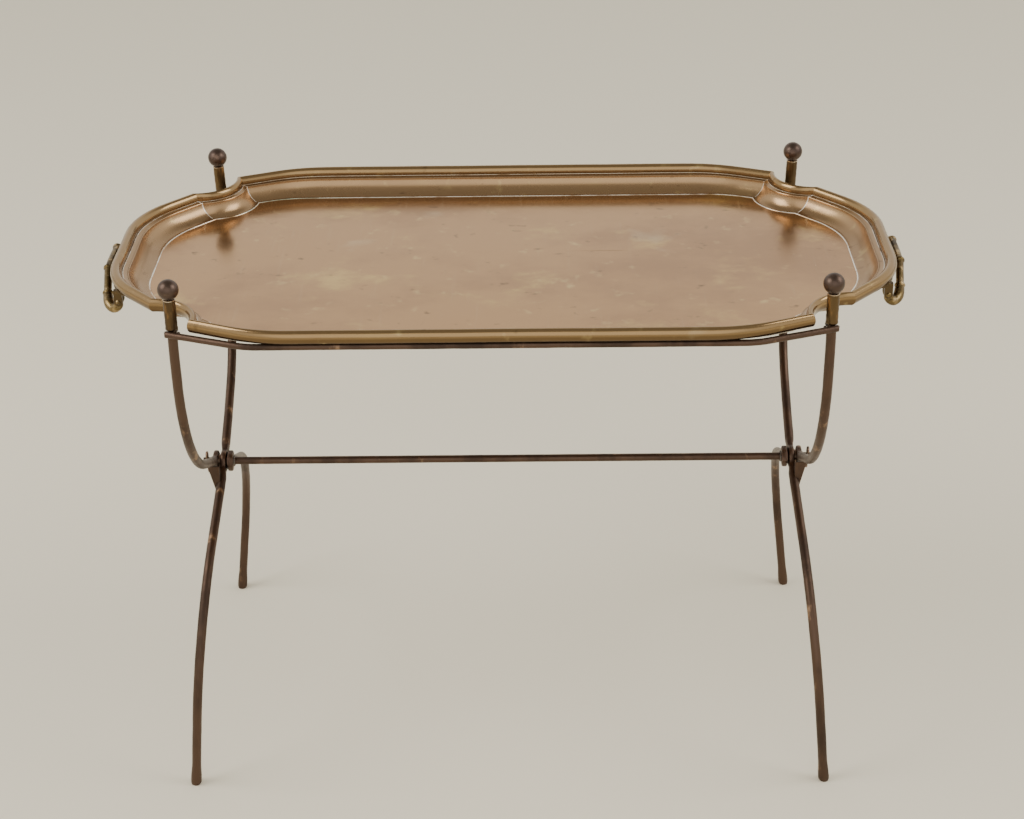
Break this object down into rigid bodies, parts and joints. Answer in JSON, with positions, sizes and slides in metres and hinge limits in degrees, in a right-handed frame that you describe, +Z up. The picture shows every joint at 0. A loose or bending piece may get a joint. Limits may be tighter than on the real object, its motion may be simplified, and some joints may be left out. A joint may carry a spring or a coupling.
{
  "type": "folding tray table",
  "caption": "Brass tray table: a notched tray with a rolled rim and bail handles, on a folding X stand of curved rods with ball finials.",
  "frame": {"origin": "on the floor, under the centre of the table", "axes": "+X along the length of the tray, +Z up, front at -Y"},
  "size_m": [0.9976, 0.5202, 0.7145],
  "materials": {
    "tray_brass": "old satin brass, patinated pinkish brown, paler in the creases",
    "handle_brass": "cast brass, olive gold where it is worn, dark in the hollows",
    "lug_brass": "cast brass gone dark brown",
    "ferrule_brass": "drawn brass tube, dark brown with gold streaks",
    "ring_brass": "bright turned brass",
    "finial_bronze": "smooth brown patina, satin",
    "stand_iron": "reddish brown patina over iron, rubbed through to copper colour along the rods",
    "plain_wire": "plain iron wire and washers, brown"
  },
  "bodies": {
    "stand_fixed_half": {"side_rod_left": "stand_iron", "side_rod_right": "stand_iron", "rear_rail": "stand_iron", "stop_lug_left": "stand_iron", "stop_lug_right": "stand_iron", "ferrule_rear_left": "ferrule_brass", "ferrule_rear_right": "ferrule_brass", "finial_rear_left": "finial_bronze", "finial_rear_right": "finial_bronze", "finial_rings_rear": "ring_brass"},
    "stand_folding_half": {"front_upright_left": "stand_iron", "front_upright_right": "stand_iron", "front_rail": "stand_iron", "stretcher": "stand_iron", "rear_leg_left": "stand_iron", "rear_leg_right": "stand_iron", "cotter_pin_left": "plain_wire", "cotter_pin_right": "plain_wire", "spacer_washer_left": "plain_wire", "spacer_washer_right": "plain_wire", "ferrule_front_left": "ferrule_brass", "ferrule_front_right": "ferrule_brass", "finial_front_left": "finial_bronze", "finial_front_right": "finial_bronze", "finial_rings_front": "ring_brass"},
    "tray": {"tray_pan": "tray_brass", "rim_wire": "plain_wire", "handle_bracket_front_left": "lug_brass", "handle_bracket_front_right": "lug_brass", "handle_bracket_rear_left": "lug_brass", "handle_bracket_rear_right": "lug_brass", "handle_pin_front_left": "handle_brass", "handle_pin_front_right": "handle_brass", "handle_pin_rear_left": "handle_brass", "handle_pin_rear_right": "handle_brass"},
    "grip_left": {"handle_left": "handle_brass"},
    "grip_right": {"handle_right": "handle_brass"}
  },
  "joints": [
    {"name": "tray_lift", "type": "slide", "parent": "stand_fixed_half", "child": "tray", "axis": [0, 0.1736, 0.9848], "range_m": [0, 1.12]},
    {"name": "stand_fold", "type": "hinge", "parent": "stand_fixed_half", "child": "stand_folding_half", "pos_m": [0, 0, 0.3535], "axis": [-1, 0, 0], "range_deg": [0, 57]},
    {"name": "handle_left_swing", "type": "hinge", "parent": "tray", "child": "grip_left", "pos_m": [-0.468, 0, 0.6385], "axis": [0, -1, 0], "range_deg": [0, 80]},
    {"name": "handle_right_swing", "type": "hinge", "parent": "tray", "child": "grip_right", "pos_m": [0.468, 0, 0.6385], "axis": [0, 1, 0], "range_deg": [0, 80]}
  ],
  "couplings": [
    {"joint": "stand_fold", "follows": "tray_lift", "rad_per_m": 0.886}
  ]
}
